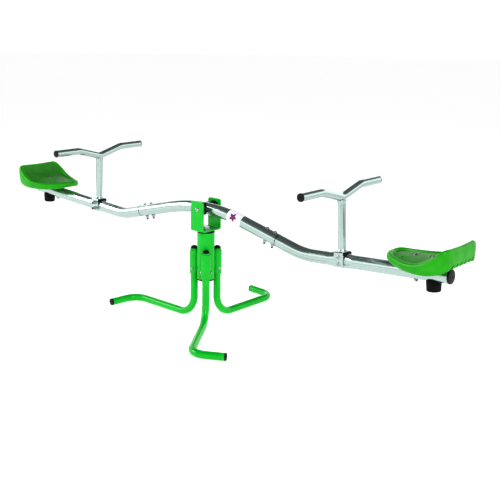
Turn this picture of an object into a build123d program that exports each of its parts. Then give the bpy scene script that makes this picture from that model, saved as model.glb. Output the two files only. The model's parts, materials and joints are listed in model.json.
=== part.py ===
from build123d import *
import math
import os

# A free-standing garden seesaw: a bent three-piece beam with a seat and a handle at each end, rocking on a
# yoke that also turns all the way round on a short column with three bent legs.
# Millimetres. +Z is up, +X runs along the level beam, and the origin is on the ground under the column.
# Everything on the beam is made for its +X end; turning it half way round about Z gives the other end.

# Beam: three tubes of one size that follow a line with a wide bend over the pivot and one in each outer tube
BEAM_OD = 48.0
BEAM_WALL = 2.0
PIVOT_Z = 459.0               # height of the rocking axis
CENTRE_SLOPE = 14.1           # degrees, how steeply the centre tube falls away on each side
CENTRE_BEND_R = 800.0
OUTER_RISE = 3.6              # degrees, how gently the outer run climbs towards the seat
OUTER_BEND_X = 477.0          # where the two straight runs would cross
OUTER_BEND_R = 260.0
BEAM_END_X = 1048.0
JOINT_X = 360.0               # open end of the centre tube
JOINT_INSERT = 88.0           # length of the swaged end inside the centre tube
JOINT_GAP = 1.6
PRESSED_HALF_Y = 20.5         # the tube is pressed to an oval where the handle clamps it
PRESSED_HALF_Z = 26.6
PRESSED_HALF_LENGTH = 21.0
PRESS_RUN = 28.0              # length of each change from round to oval

# Handle
HANDLE_X = 642.0
TUBE_OD = 28.6                # legs, posts and handle bars are the same tube
TUBE_WALL = 2.0
BAR_HEIGHT = 218.5            # bar centre above the beam's centre line, at the post
BAR_KNEE_Y = 113.5
BAR_KNEE_RISE = 31.0
BAR_END_Y = 228.0
BRACKET_WIDTH = 38.0
BRACKET_PLATE = 3.0
BRACKET_DROP = 20.5           # how far the side plates reach below the beam's centre line
LINER = 3.0
HANDLE_BOLT_HEIGHTS = (15.0, -10.0)

# Yoke and swivel
YOKE_WIDTH = 64.0
YOKE_SPREAD = 102.0           # outside to outside
YOKE_PLATE = 5.0
YOKE_TOP = 33.0               # above the pivot
YOKE_BASE_Z = 372.0           # underside
SPINDLE_OD = 25.0
SPINDLE_THREAD_OD = 16.0
RUNNING = 0.05                # radial clearance of a shaft that turns
GAP = 0.4                     # between faces that pass each other

# Column and legs
COLUMN_OD = 69.0
COLUMN_WALL = 3.0
COLUMN_BOTTOM = 176.0
COLUMN_TOP = 364.0
SLEEVE_OD = 36.0
SLEEVE_BORE = 29.4
SLEEVE_BOTTOM = 190.0
SLEEVE_TOP = 286.0
SLEEVE_BOLT_Z = 212.0
LEG_TOP = 292.0
LEG_R = (COLUMN_OD + SLEEVE_OD) / 2
LEG_BEND_R = 80.0
LEG_REACH = 400.0             # column axis to the far corner
LEG_FAR_R = 60.0
FOOT_TURN = 85.0              # degrees, anticlockwise from above
FOOT_LENGTH = 128.0
LEGS = {"front": (-46.0, -10.0), "right": (74.0, 15.0), "left": (194.0, -15.0)}   # place, clock angle

# Seat, measured along the outer run from the beam's end and up from its centre line
SEAT_FRONT = -213.0
SEAT_WALL = 5.0
# distance from the front edge, half width, rim height, depth of the dish, lower edge height
SEAT_STATIONS = (
    (0.0, 34.0, 58.0, 2.0, 46.0),
    (12.0, 52.0, 64.0, 6.0, 40.0),
    (45.0, 72.0, 60.0, 5.0, 33.0),
    (95.0, 96.0, 54.0, 1.0, 25.0),
    (160.0, 112.0, 58.0, 4.0, 22.0),
    (206.0, 112.0, 77.0, 14.0, 25.0),
    (236.0, 104.0, 96.0, 14.0, 33.0),
    (255.0, 88.0, 99.0, 4.0, 42.0),
)
SEAT_BOLT_S = -120.0
BOSS_R = 19.0
BOSS_TOP = 50.0
BUMPER_S = -56.0
BUMPER_TOP_R = 25.0
BUMPER_FOOT_R = 23.3
BUMPER_TOP = 18.0             # its cheeks reach up the tube to this far below the centre line
BUMPER_DEPTH = 55.0           # lower face below the centre line
BUMPER_NUT_DROP = 10.0        # rubber left between the tube and the nut

# Fasteners
M6 = 6.0
M8 = 8.0
M10 = 10.0

# Label
LABEL_START = 128.0           # along the centre tube from the pivot
LABEL_LENGTH = 68.0
LABEL_THICKNESS = 0.3

APEX_RISE = CENTRE_BEND_R * (1 / math.cos(math.radians(CENTRE_SLOPE)) - 1)
CORNER_Z = PIVOT_Z + APEX_RISE
OUTER_BEND_Z = CORNER_Z - OUTER_BEND_X * math.tan(math.radians(CENTRE_SLOPE))
TUBE_R = TUBE_OD / 2
BEAM_R = BEAM_OD / 2


# Places on the beam

def centre_run(x):
    """A frame on the straight part of the centre tube at x, its X axis along the tube."""
    return Location((x, 0, CORNER_Z - x * math.tan(math.radians(CENTRE_SLOPE))), (0, CENTRE_SLOPE, 0))


def outer_run(x):
    """A frame on the outer run at x, its X axis along the tube towards the seat."""
    rise = math.tan(math.radians(OUTER_RISE)) * (x - OUTER_BEND_X)
    return Location((x, 0, OUTER_BEND_Z + rise), (0, -OUTER_RISE, 0))


def from_end(s):
    """A frame on the outer run, s along it from the beam's end."""
    return outer_run(BEAM_END_X) * Location((s, 0, 0))


def other_end(shape):
    return Rot(0, 0, 180) * shape


def both_ends(shapes):
    return Compound(children=list(shapes) + [other_end(shape) for shape in shapes])


# Solids used more than once

def rod(radius, low, high):
    """An upright cylinder between two heights."""
    return Pos(0, 0, (low + high) / 2) * Cylinder(radius, high - low)


def pipe(radius, bore, low, high):
    return rod(radius, low, high) - rod(bore, low - 1, high + 1)


def swept(path, radius, bore=0.0):
    section = Circle(radius)
    if bore:
        section -= Circle(bore)
    return sweep(Plane(path @ 0, z_dir=path % 0) * section, path=path)


def dome(radius, height, base):
    """A spherical cap that stands on the plane z = base."""
    ball = (radius ** 2 + height ** 2) / (2 * height)
    return Pos(0, 0, base + height - ball) * Sphere(ball) & rod(radius + 1, base, base + height + 1)


def bolt(size, low, high, head_r=None, head_h=None):
    """A button-head bolt standing on its thread end: shank from low to high, head above high."""
    head_r = head_r or size * 0.95
    head_h = head_h or size * 0.55
    return rod(size / 2, low, high) + rod(head_r, high, high + 1.2) + dome(head_r, head_h - 1.2, high + 1.2)


def nut(size, low, height=None):
    """A flanged hexagon nut that hangs from the plane z = low, with a clear bore."""
    height = height or size * 0.9
    hexagon = extrude(RegularPolygon(size * 0.94, 6), height)
    body = Pos(0, 0, low - height) * hexagon + rod(size * 1.05, low - 1.4, low)
    return body - rod(size / 2, low - height - 1, low + 1)


def plug(radius, bore, stem, dome_height, head):
    """A push-in end plug: stem inside the tube along -Z, a rounded head on the outside."""
    outside = rod(radius, 0, head) + dome(radius, dome_height, head)
    return outside + pipe(bore - 0.1, bore - 2.0, -stem, 0)


# Base

def column_weldment():
    column = rod(COLUMN_OD / 2, COLUMN_BOTTOM, COLUMN_TOP)
    for place, _ in LEGS.values():
        sleeve = Pos(LEG_R, 0, 0) * rod(SLEEVE_OD / 2, SLEEVE_BOTTOM, SLEEVE_TOP)
        weld_x = COLUMN_OD / 2
        weld_length = SLEEVE_TOP - SLEEVE_BOTTOM - 12
        weld = Pos(weld_x, 0, (SLEEVE_BOTTOM + SLEEVE_TOP) / 2) * Box(9, 16, weld_length)
        column += Rot(0, 0, place) * (sleeve + weld)
    column -= rod(COLUMN_OD / 2 - COLUMN_WALL, COLUMN_BOTTOM - 1, COLUMN_TOP + 1)
    for place, _ in LEGS.values():
        bore = Pos(LEG_R, 0, 0) * rod(SLEEVE_BORE / 2, SLEEVE_BOTTOM - 1, SLEEVE_TOP + 1)
        cross = Pos(LEG_R, 0, SLEEVE_BOLT_Z) * Rot(90, 0, 0) * Cylinder(M6 / 2 + 0.2, SLEEVE_OD + 2)
        column -= Rot(0, 0, place) * (bore + cross)
    return column


def leg_path(place, clock):
    """From the top of the upright, down, outwards along the ground and round into the foot."""
    outward = Vector(1, 0, 0).rotate(Axis.Z, place + clock)
    sideways = outward.rotate(Axis.Z, FOOT_TURN)
    heel = Vector(1, 0, 0).rotate(Axis.Z, place) * LEG_R + Vector(0, 0, TUBE_R)
    corner = heel + outward * (LEG_REACH - LEG_R)
    points = [heel + Vector(0, 0, LEG_TOP - TUBE_R), heel, corner, corner + sideways * FOOT_LENGTH]
    return FilletPolyline(*points, radius=[LEG_BEND_R, LEG_FAR_R])


def leg(place, clock):
    tube = swept(leg_path(place, clock), TUBE_R, TUBE_R - TUBE_WALL)
    cross = Pos(LEG_R, 0, SLEEVE_BOLT_Z) * Rot(90, 0, 0) * Cylinder(M6 / 2 + 0.2, TUBE_OD + 2)
    return tube - Rot(0, 0, place) * cross


def leg_top_cap(place):
    cap = plug(TUBE_R, TUBE_R - TUBE_WALL, 12, 8, 4)
    return Rot(0, 0, place) * Pos(LEG_R, 0, LEG_TOP) * cap


def foot_cap(place, clock):
    path = leg_path(place, clock)
    cap = plug(TUBE_R, TUBE_R - TUBE_WALL, 12, 3, 5)
    return Plane(path @ 1, z_dir=path % 1).location * cap


def across_sleeves(shape):
    """Copies of a fastener, made along Z, laid across each sleeve."""
    upright = Pos(LEG_R, 0, SLEEVE_BOLT_Z) * Rot(90, 0, 0) * shape
    return Compound(children=[Rot(0, 0, place) * upright for place, _ in LEGS.values()])


def column_bush(low, high, flange_low, flange_high):
    bush = rod(COLUMN_OD / 2 - COLUMN_WALL, low, high) + rod(COLUMN_OD / 2, flange_low, flange_high)
    bush -= rod(SPINDLE_OD / 2 + RUNNING, low - 20, high + 20)
    return bush


# Swivel

def yoke():
    height = PIVOT_Z + YOKE_TOP - YOKE_BASE_Z
    outside = Pos(0, 0, YOKE_BASE_Z + height / 2) * Box(YOKE_WIDTH, YOKE_SPREAD, height)
    outside = fillet(outside.edges().filter_by(Axis.X).group_by(Axis.Z)[0], 9)
    outside = fillet(outside.edges().filter_by(Axis.Y).group_by(Axis.Z)[-1], 10)
    gap = Pos(0, 0, YOKE_BASE_Z + YOKE_PLATE + height / 2)
    inside = gap * Box(YOKE_WIDTH + 2, YOKE_SPREAD - 2 * YOKE_PLATE, height)
    inside = fillet(inside.edges().filter_by(Axis.X).group_by(Axis.Z)[0], 4)
    pivot_hole = Pos(0, 0, PIVOT_Z) * Rot(90, 0, 0) * Cylinder(M10 / 2 + 0.1, YOKE_SPREAD + 2)
    spindle_hole = rod(SPINDLE_OD / 2, YOKE_BASE_Z - 1, YOKE_BASE_Z + YOKE_PLATE + 1)
    return outside - inside - pivot_hole - spindle_hole


SPINDLE_SHOULDER_Z = COLUMN_BOTTOM - 5.0 - GAP


def spindle():
    """A long shouldered bolt: its head is on the yoke's floor and its thread comes out below the column."""
    floor = YOKE_BASE_Z + YOKE_PLATE
    head = rod(21, floor, floor + 3) + Pos(0, 0, floor + 3) * extrude(RegularPolygon(19, 6), 9)
    shank = rod(SPINDLE_OD / 2, SPINDLE_SHOULDER_Z, floor)
    return head + shank + rod(SPINDLE_THREAD_OD / 2, SPINDLE_SHOULDER_Z - 24, SPINDLE_SHOULDER_Z)


def spindle_washer():
    return pipe(22, SPINDLE_THREAD_OD / 2, SPINDLE_SHOULDER_Z - 2.5, SPINDLE_SHOULDER_Z)


def spindle_nut():
    return nut(SPINDLE_THREAD_OD, SPINDLE_SHOULDER_Z - 2.5, 16)


def along_pivot(shape):
    """A piece made along Z about the origin, laid along the rocking axis with its top towards -Y."""
    return Pos(0, 0, PIVOT_Z) * Rot(90, 0, 0) * shape


def pivot_bolt():
    half = YOKE_SPREAD / 2
    return along_pivot(bolt(M10, -half - 13, half, 9.0, 6.0))


def pivot_nut():
    return along_pivot(nut(M10, -YOKE_SPREAD / 2))


def pivot_nut_cap():
    low = -YOKE_SPREAD / 2 - 13
    return along_pivot(Rot(180, 0, 0) * (rod(M10 / 2 + 1, -low, -low + 2) + dome(M10 / 2 + 1, 3, -low + 2)))


# Beam

def centre_line():
    """The centre tube's line: straight, a wide bend over the pivot, straight."""
    end = centre_run(JOINT_X).position
    return FilletPolyline((-end.X, 0, end.Z), (0, 0, CORNER_Z), (end.X, 0, end.Z), radius=CENTRE_BEND_R)


SLEEVE_R = 8.0                # steel tube across the beam that the pivot bolt passes through
SPACER_R = 24.5
INSIDE_YOKE = YOKE_SPREAD / 2 - YOKE_PLATE - GAP
JOINT_BOLTS = (20.0, 58.0)    # along the tube from its open end, inwards


def joint_place(distance):
    return centre_run(JOINT_X) * Location((-distance, 0, 0))


def joint_holes():
    holes = [joint_place(d) * Cylinder(M8 / 2 + 0.2, BEAM_OD + 4) for d in JOINT_BOLTS]
    return holes + [other_end(hole) for hole in holes]


def centre_tube():
    tube = swept(centre_line(), BEAM_R, BEAM_R - BEAM_WALL)
    tube -= along_pivot(Cylinder(SLEEVE_R, BEAM_OD + 4))
    for hole in joint_holes():
        tube -= hole
    return tube


def pivot_sleeve():
    return along_pivot(pipe(SLEEVE_R, M10 / 2 + RUNNING, -INSIDE_YOKE, INSIDE_YOKE))


def pivot_spacer(side):
    """A plastic collar between the beam and a yoke plate, hollowed to sit on the round of the beam."""
    collar = along_pivot(pipe(SPACER_R, SLEEVE_R, 6, INSIDE_YOKE))
    collar -= swept(centre_line(), BEAM_R)
    return collar if side < 0 else other_end(collar)


def outer_tube():
    """Swaged end, bend, outer run, pressed oval under the handle, and on to the beam's end."""
    start = centre_run(JOINT_X + JOINT_GAP).position
    inner_end = (centre_run(JOINT_X) * Location((-JOINT_INSERT, 0, 0))).position
    press_in = outer_run(HANDLE_X) * Location((-PRESSED_HALF_LENGTH - PRESS_RUN, 0, 0))
    press_out = outer_run(HANDLE_X) * Location((PRESSED_HALF_LENGTH + PRESS_RUN, 0, 0))
    corner = Vector(OUTER_BEND_X, 0, OUTER_BEND_Z)
    bend = FilletPolyline(start, corner, press_in.position, radius=OUTER_BEND_R)
    rest = Line(press_out.position, outer_run(BEAM_END_X).position)

    def layers(shrink):
        radius = BEAM_R - shrink
        ring = Location((0, 0, 0), (0, 90, 0))
        oval = Ellipse(PRESSED_HALF_Z - shrink, PRESSED_HALF_Y - shrink)
        middle = outer_run(HANDLE_X)
        near = middle * Location((-PRESSED_HALF_LENGTH, 0, 0)) * ring * oval
        far = middle * Location((PRESSED_HALF_LENGTH, 0, 0)) * ring * oval
        first = press_in * ring * Circle(radius)
        last = press_out * ring * Circle(radius)
        necks = [loft([first, near]), loft([near, far]), loft([far, last])]
        return [swept(bend, radius), *necks, swept(rest, radius)]

    outside = layers(0.0)
    inside = layers(BEAM_WALL)
    tube = outside[0]
    for piece in outside[1:]:
        tube += piece
    insert = swept(Line(inner_end, start), BEAM_R - BEAM_WALL - 0.1)
    tube += insert
    for piece in inside:
        tube -= piece
    swage_bore = BEAM_R - 2 * BEAM_WALL - 0.1
    along = joint_place(0) * Rot(0, 90, 0)
    tube += along * rod(BEAM_R - 0.5, JOINT_GAP, JOINT_GAP + 4)
    tube -= along * rod(swage_bore, -JOINT_INSERT - 1, JOINT_GAP + 5)
    for hole in joint_holes()[:len(JOINT_BOLTS)]:
        tube -= hole
    for height in HANDLE_BOLT_HEIGHTS:
        tube -= outer_run(HANDLE_X) * Pos(0, 0, height) * Rot(90, 0, 0) * Cylinder(M8 / 2 + 0.2, BEAM_OD)
    for s in (SEAT_BOLT_S, BUMPER_S):
        tube -= from_end(s) * Cylinder(M8 / 2 + 0.2, BEAM_OD + 4)
    return tube


def end_plug():
    head = 5.5
    crown = 3.0
    plug_shape = plug(BEAM_R, BEAM_R - BEAM_WALL, 22, crown, head)
    dimple = Pos(0, 0, head + crown) * Sphere(4)
    return from_end(0) * Rot(0, 90, 0) * (plug_shape - dimple)


def joint_fasteners(make):
    return both_ends([joint_place(d) * make() for d in JOINT_BOLTS])


def joint_bolt():
    return bolt(M8, -BEAM_R - 11, BEAM_R)


def joint_nut():
    return nut(M8, -BEAM_R)


def thread_cap(size, low):
    """A small black cap pushed over a thread end that points down."""
    return Rot(180, 0, 0) * (rod(size / 2 + 1, -low, -low + 2) + dome(size / 2 + 1, 3, -low + 2))


def joint_cap():
    return thread_cap(M8, -BEAM_R - 11)


# Handle

def handle_bar_path():
    low = BAR_HEIGHT
    high = BAR_HEIGHT + BAR_KNEE_RISE
    points = [(0, -BAR_END_Y, high), (0, -BAR_KNEE_Y, high), (0, 0, low)]
    points += [(0, BAR_KNEE_Y, high), (0, BAR_END_Y, high)]
    return FilletPolyline(*points, radius=[70, 55, 70])


BRACKET_INSIDE = 2 * PRESSED_HALF_Y + 0.6
BRACKET_OUTSIDE = BRACKET_INSIDE + 2 * BRACKET_PLATE
BRACKET_TOP = PRESSED_HALF_Z + LINER + BRACKET_PLATE


def handle():
    """One weldment: a bent bar on a post that stands on an inverted U-shaped clamp bracket."""
    path = handle_bar_path()
    bar = swept(path, TUBE_R, TUBE_R - TUBE_WALL)
    post = pipe(TUBE_R, TUBE_R - TUBE_WALL, BRACKET_TOP, BAR_HEIGHT)
    weld = Pos(0, 0, BRACKET_TOP + 3) * Cone(TUBE_R + 3.5, TUBE_R, 6) - rod(TUBE_R - TUBE_WALL, 0, 100)
    height = BRACKET_TOP + BRACKET_DROP
    bracket = Pos(0, 0, BRACKET_TOP - height / 2) * Box(BRACKET_WIDTH, BRACKET_OUTSIDE, height)
    bracket = fillet(bracket.edges().filter_by(Axis.X).group_by(Axis.Z)[-1], 5)
    inside_z = BRACKET_TOP - BRACKET_PLATE - height / 2
    inside = Pos(0, 0, inside_z) * Box(BRACKET_WIDTH + 2, BRACKET_INSIDE, height)
    inside = fillet(inside.edges().filter_by(Axis.X).group_by(Axis.Z)[-1], 2)
    bracket -= inside
    for z in HANDLE_BOLT_HEIGHTS:
        bracket -= Pos(0, 0, z) * Rot(90, 0, 0) * Cylinder(M8 / 2 + 0.2, BRACKET_OUTSIDE + 4)
    joint_bead = Pos(0, 0, BAR_HEIGHT - TUBE_R - 1) * Cone(TUBE_R, TUBE_R + 3, 8) - rod(TUBE_R - 1, 0, 400)
    bead = joint_bead - swept(path, TUBE_R - 1)
    return bracket + weld + (post - swept(path, TUBE_R - 1)) + bead + bar


def handle_liner():
    """A rubber saddle between the bracket's top and the oval of the tube."""
    width = BRACKET_WIDTH + 12
    low = PRESSED_HALF_Z - 7
    top = BRACKET_TOP - BRACKET_PLATE
    liner = Pos(0, 0, (low + top) / 2) * Box(width, BRACKET_INSIDE - 0.4, top - low)
    liner = fillet(liner.edges().filter_by(Axis.X).group_by(Axis.Z)[-1], 2.2)
    lap = PRESS_RUN / 4
    oval = Rot(0, 90, 0) * Ellipse(PRESSED_HALF_Z + 0.1, PRESSED_HALF_Y + lap / 4)
    return liner - extrude(oval, width, both=True)


def grip_plugs():
    path = handle_bar_path()
    cap = plug(TUBE_R, TUBE_R - TUBE_WALL, 14, 1.5, 3.0)
    far_end = Plane(path @ 1, z_dir=path % 1).location
    near_end = Plane(path @ 0, z_dir=(path % 0) * -1).location
    ends = [far_end * cap, near_end * cap]
    return Compound(children=ends)


def handle_bolt():
    return bolt(M8, -BRACKET_OUTSIDE / 2 - 11, BRACKET_OUTSIDE / 2)


def handle_nut():
    return nut(M8, -BRACKET_OUTSIDE / 2)


def handle_cap():
    return thread_cap(M8, -BRACKET_OUTSIDE / 2 - 11)


def handle_fasteners(make):
    place = outer_run(HANDLE_X)
    return both_ends([place * Pos(0, 0, z) * Rot(90, 0, 0) * make() for z in HANDLE_BOLT_HEIGHTS])


# Seat

def seat_section(x, half, rim, dish, low):
    """A closed outline across the seat: flat underside, upright sides, hollow top."""
    top = ThreePointArc((half, rim), (0, rim - dish), (-half, rim))
    sides = Polyline((-half, rim), (-half * 0.94, low), (half * 0.94, low), (half, rim))
    face = make_face(top + sides)
    return Plane(origin=(x, 0, 0), x_dir=(0, 1, 0), z_dir=(1, 0, 0)) * face


def seat_shell():
    outside = loft([seat_section(*station) for station in SEAT_STATIONS])
    inward = {SEAT_STATIONS[0]: SEAT_WALL, SEAT_STATIONS[-1]: -SEAT_WALL}
    hollow = []
    for station in SEAT_STATIONS:
        x, half, rim, dish, low = station
        x += inward.get(station, 0)
        hollow.append(seat_section(x, half - SEAT_WALL, rim - SEAT_WALL, dish, low - 40))
    return outside - loft(hollow)


def seat():
    """A moulded saddle on two bosses that sit on the beam, with a flat sunk into the dish above each."""
    shell = Pos(SEAT_FRONT, 0, 0) * seat_shell()
    for s in (SEAT_BOLT_S, BUMPER_S):
        shell += Pos(s, 0, 0) * rod(BOSS_R, 10, BOSS_TOP)
    shell -= Rot(0, 90, 0) * Cylinder(BEAM_R + 0.05, 700)
    for s in (SEAT_BOLT_S, BUMPER_S):
        shell -= Pos(s, 0, 0) * rod(M8 / 2 + 0.3, 0, 90)
        shell -= Pos(s, 0, 0) * rod(WASHER_R + 1.5, washer_face(s), 90)
    return from_end(0) * shell


def seat_floor(s):
    """Height of the dish's centre above the beam's centre line, s from the beam's end."""
    x = s - SEAT_FRONT
    for first, second in zip(SEAT_STATIONS, SEAT_STATIONS[1:]):
        if first[0] <= x <= second[0]:
            share = (x - first[0]) / (second[0] - first[0])
            return (first[2] - first[3]) * (1 - share) + (second[2] - second[3]) * share
    return 0.0


def washer_face(s):
    """Height of the flat that is sunk into the dish for a washer."""
    return seat_floor(s) + 0.5


def bumper():
    middle = -(BUMPER_TOP + BUMPER_DEPTH) / 2
    body = Pos(0, 0, middle) * Cone(BUMPER_FOOT_R, BUMPER_TOP_R, BUMPER_DEPTH - BUMPER_TOP)
    body = fillet(body.edges().group_by(Axis.Z)[0], 4)
    body -= Rot(0, 90, 0) * Cylinder(BEAM_R, 200)
    recess = rod(9, -BUMPER_DEPTH - 1, -BEAM_R - BUMPER_NUT_DROP)
    body -= recess + rod(M8 / 2, -BUMPER_DEPTH, 0)
    return from_end(BUMPER_S) * body


WASHER_R = 11.0
WASHER_THICKNESS = 2.0


def seat_fastener_pairs():
    """Distance from the beam's end, underside of the bolt head, thread end, and face under the nut."""
    seat_head = washer_face(SEAT_BOLT_S) + WASHER_THICKNESS
    bumper_head = washer_face(BUMPER_S) + WASHER_THICKNESS
    bumper_face = -BEAM_R - BUMPER_NUT_DROP
    front_pair = (SEAT_BOLT_S, seat_head, -BEAM_R - 9, -BEAM_R)
    bumper_pair = (BUMPER_S, bumper_head, bumper_face - 10, bumper_face)
    return front_pair, bumper_pair


def seat_bolts():
    pairs = seat_fastener_pairs()
    return both_ends([from_end(s) * bolt(M8, low, head, 8.5, 5.0) for s, head, low, _ in pairs])


def seat_washers():
    def washer(head):
        return pipe(WASHER_R, M8 / 2, head - WASHER_THICKNESS, head)

    return both_ends([from_end(s) * washer(head) for s, head, _, _ in seat_fastener_pairs()])


def seat_nuts():
    return both_ends([from_end(s) * nut(M8, face) for s, _, _, face in seat_fastener_pairs()])


def label():
    """A thin wrap that follows the bend of the centre tube and leaves the tube's far side bare."""
    path = centre_line()
    middle = path.length / 2
    ends = [path.position_at((middle + d) / path.length) for d in (LABEL_START, LABEL_START + LABEL_LENGTH)]
    half_way = path.position_at((middle + LABEL_START + LABEL_LENGTH / 2) / path.length)
    arc = ThreePointArc(ends[0], half_way, ends[1])
    wrap = swept(arc, BEAM_R + LABEL_THICKNESS, BEAM_R)
    far_side = Pos(LABEL_START + LABEL_LENGTH / 2, BEAM_R + 8, PIVOT_Z) * Box(300, BEAM_R, 300)
    return wrap - far_side


def write(name, shape):
    export_step(shape, os.path.join("parts", name + ".step"))


def main():
    os.makedirs("parts", exist_ok=True)
    write("column_weldment", column_weldment())
    for name, (place, clock) in LEGS.items():
        write("leg_" + name, leg(place, clock))
        write("leg_top_cap_" + name, leg_top_cap(place))
        write("foot_cap_" + name, foot_cap(place, clock))
    sleeve_half = SLEEVE_OD / 2
    write("leg_bolts", across_sleeves(bolt(M6, -sleeve_half - 7, sleeve_half, 6.5, 4.5)))
    write("leg_nuts", across_sleeves(nut(M6, -sleeve_half)))
    write("column_bush_upper", column_bush(COLUMN_TOP - 30, COLUMN_TOP, COLUMN_TOP, YOKE_BASE_Z - GAP))
    lower_bush = column_bush(COLUMN_BOTTOM, COLUMN_BOTTOM + 25, COLUMN_BOTTOM - 5, COLUMN_BOTTOM)
    write("column_bush_lower", lower_bush)

    write("yoke", yoke())
    write("spindle", spindle())
    write("spindle_washer", spindle_washer())
    write("spindle_nut", spindle_nut())
    write("pivot_bolt", pivot_bolt())
    write("pivot_nut", pivot_nut())
    write("pivot_nut_cap", pivot_nut_cap())

    write("centre_tube", centre_tube())
    write("pivot_sleeve", pivot_sleeve())
    write("pivot_spacer_near", pivot_spacer(-1))
    write("pivot_spacer_far", pivot_spacer(1))
    write("joint_bolts", joint_fasteners(joint_bolt))
    write("joint_nuts", joint_fasteners(joint_nut))
    write("joint_thread_caps", joint_fasteners(joint_cap))
    write("handle_bolts", handle_fasteners(handle_bolt))
    write("handle_nuts", handle_fasteners(handle_nut))
    write("handle_thread_caps", handle_fasteners(handle_cap))
    write("seat_bolts", seat_bolts())
    write("seat_washers", seat_washers())
    write("seat_nuts", seat_nuts())
    write("label", label())
    at_handle = outer_run(HANDLE_X)
    for name, turn in (("right", lambda shape: shape), ("left", other_end)):
        write("outer_tube_" + name, turn(outer_tube()))
        write("end_plug_" + name, turn(end_plug()))
        write("handle_" + name, turn(at_handle * handle()))
        write("handle_liner_" + name, turn(at_handle * handle_liner()))
        write("grip_plugs_" + name, turn(at_handle * grip_plugs()))
        write("seat_" + name, turn(seat()))
        write("bumper_" + name, turn(bumper()))


main()
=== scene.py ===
# %% [markdown]
# # A garden seesaw that rocks and turns
# This notebook dresses a seesaw whose frame is already designed. The imported model gives every tube, bolt
# and joint at its true size, in metres, with Z up, the beam along X and the ground at zero. What is left is
# what the eye reads first: paint, metal flake, moulded plastic, rubber and zinc.
#
# The frame is loaded first, because every piece below takes its place and size from it. The box round the
# bare frame is kept, to be printed at the end beside the box round the dressed one.

# %% Load the frame
import json
import math
import bpy
import bmesh
from mathutils import Matrix, Vector
from mathutils.bvhtree import BVHTree


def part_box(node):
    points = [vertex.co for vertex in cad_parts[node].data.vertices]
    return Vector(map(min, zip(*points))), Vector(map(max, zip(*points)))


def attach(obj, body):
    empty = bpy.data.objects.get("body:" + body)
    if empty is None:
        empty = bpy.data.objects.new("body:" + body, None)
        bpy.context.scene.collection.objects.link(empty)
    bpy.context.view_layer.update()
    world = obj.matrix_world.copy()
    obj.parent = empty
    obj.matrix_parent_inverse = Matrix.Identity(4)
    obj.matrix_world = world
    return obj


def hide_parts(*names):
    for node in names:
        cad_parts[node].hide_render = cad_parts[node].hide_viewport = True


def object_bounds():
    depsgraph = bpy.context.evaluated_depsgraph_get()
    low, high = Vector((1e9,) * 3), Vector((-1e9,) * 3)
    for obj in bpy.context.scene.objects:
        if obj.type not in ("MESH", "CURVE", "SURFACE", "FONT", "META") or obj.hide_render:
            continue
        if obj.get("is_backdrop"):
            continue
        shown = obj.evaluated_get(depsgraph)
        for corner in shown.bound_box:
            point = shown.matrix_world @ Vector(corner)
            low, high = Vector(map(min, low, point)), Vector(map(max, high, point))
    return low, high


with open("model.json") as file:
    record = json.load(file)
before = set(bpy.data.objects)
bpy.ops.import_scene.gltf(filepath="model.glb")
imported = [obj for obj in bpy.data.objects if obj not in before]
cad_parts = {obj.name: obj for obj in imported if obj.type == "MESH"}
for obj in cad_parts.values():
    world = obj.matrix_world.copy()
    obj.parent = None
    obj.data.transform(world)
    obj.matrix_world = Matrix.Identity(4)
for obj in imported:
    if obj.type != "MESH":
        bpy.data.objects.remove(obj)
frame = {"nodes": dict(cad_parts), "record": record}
cad_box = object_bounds()
nodes = frame["nodes"]
MM = 0.001
print("frame of", len(nodes), "nodes, corners", [[round(v, 3) for v in corner] for corner in cad_box])

# %% [markdown]
# ## Colours and a way to wire nodes
# Colours are written as sRGB hex values, as on a paint card. The shader works in linear light, so one
# function turns a hex value into linear numbers. A second function adds a node to a material and sets or
# links its inputs in one go. Short functions on top of it give a noise, a drift between two colours, a
# number that follows a noise, and a relief. With those, each material below reads like a recipe.

# %% Colour and node helpers


def linear(hex_colour):
    channels = [int(hex_colour[i:i + 2], 16) / 255 for i in (1, 3, 5)]
    return [c / 12.92 if c <= 0.04045 else ((c + 0.055) / 1.055) ** 2.4 for c in channels] + [1.0]


def add(tree, kind, links=None):
    """Adds a node and fills its inputs, by name, with values or with links from other nodes."""
    node = tree.nodes.new("ShaderNode" + kind)
    for name, value in (links or {}).items():
        if isinstance(value, bpy.types.NodeSocket):
            tree.links.new(value, node.inputs[name])
        else:
            node.inputs[name].default_value = value
    return node


def new_material(name):
    """An empty material, its node tree, and a socket that gives the place on the object in metres."""
    material = bpy.data.materials.new(name)
    material.use_nodes = True
    tree = material.node_tree
    tree.nodes.clear()
    return material, tree, add(tree, "TexCoord").outputs["Object"]


def per_metre(size_mm):
    """The scale of a noise whose lumps are this many millimetres wide."""
    return 1 / (size_mm * MM)


def noise(tree, place, size_mm, detail):
    """A cloudy noise with lumps of a given width."""
    inputs = {"Vector": place, "Scale": per_metre(size_mm), "Detail": detail}
    return add(tree, "TexNoise", links=inputs).outputs["Fac"]


def two_tints(tree, factor, first, second, start=0.0, end=1.0):
    """A colour that drifts between two hex values as a noise goes from start to end."""
    ramp = add(tree, "ValToRGB", links={"Fac": factor})
    for stop, position, colour in zip(ramp.color_ramp.elements, (start, end), (first, second)):
        stop.position = position
        stop.color = linear(colour)
    return ramp.outputs["Color"]


def between(tree, factor, low, high):
    """A number that follows a noise between two limits."""
    return add(tree, "MapRange", links={"Value": factor, "To Min": low, "To Max": high}).outputs["Result"]


def relief(tree, height, strength, depth):
    """A surface direction shaken by a noise; the depth is in metres."""
    inputs = {"Height": height, "Strength": strength, "Distance": depth}
    return add(tree, "Bump", links=inputs).outputs["Normal"]


def finish_material(tree, inputs):
    """The surface shader with its inputs, joined to the material's output."""
    shader = add(tree, "BsdfPrincipled", links=inputs)
    add(tree, "OutputMaterial", links={"Surface": shader.outputs["BSDF"]})


print("white is", linear("#FFFFFF"))

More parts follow.
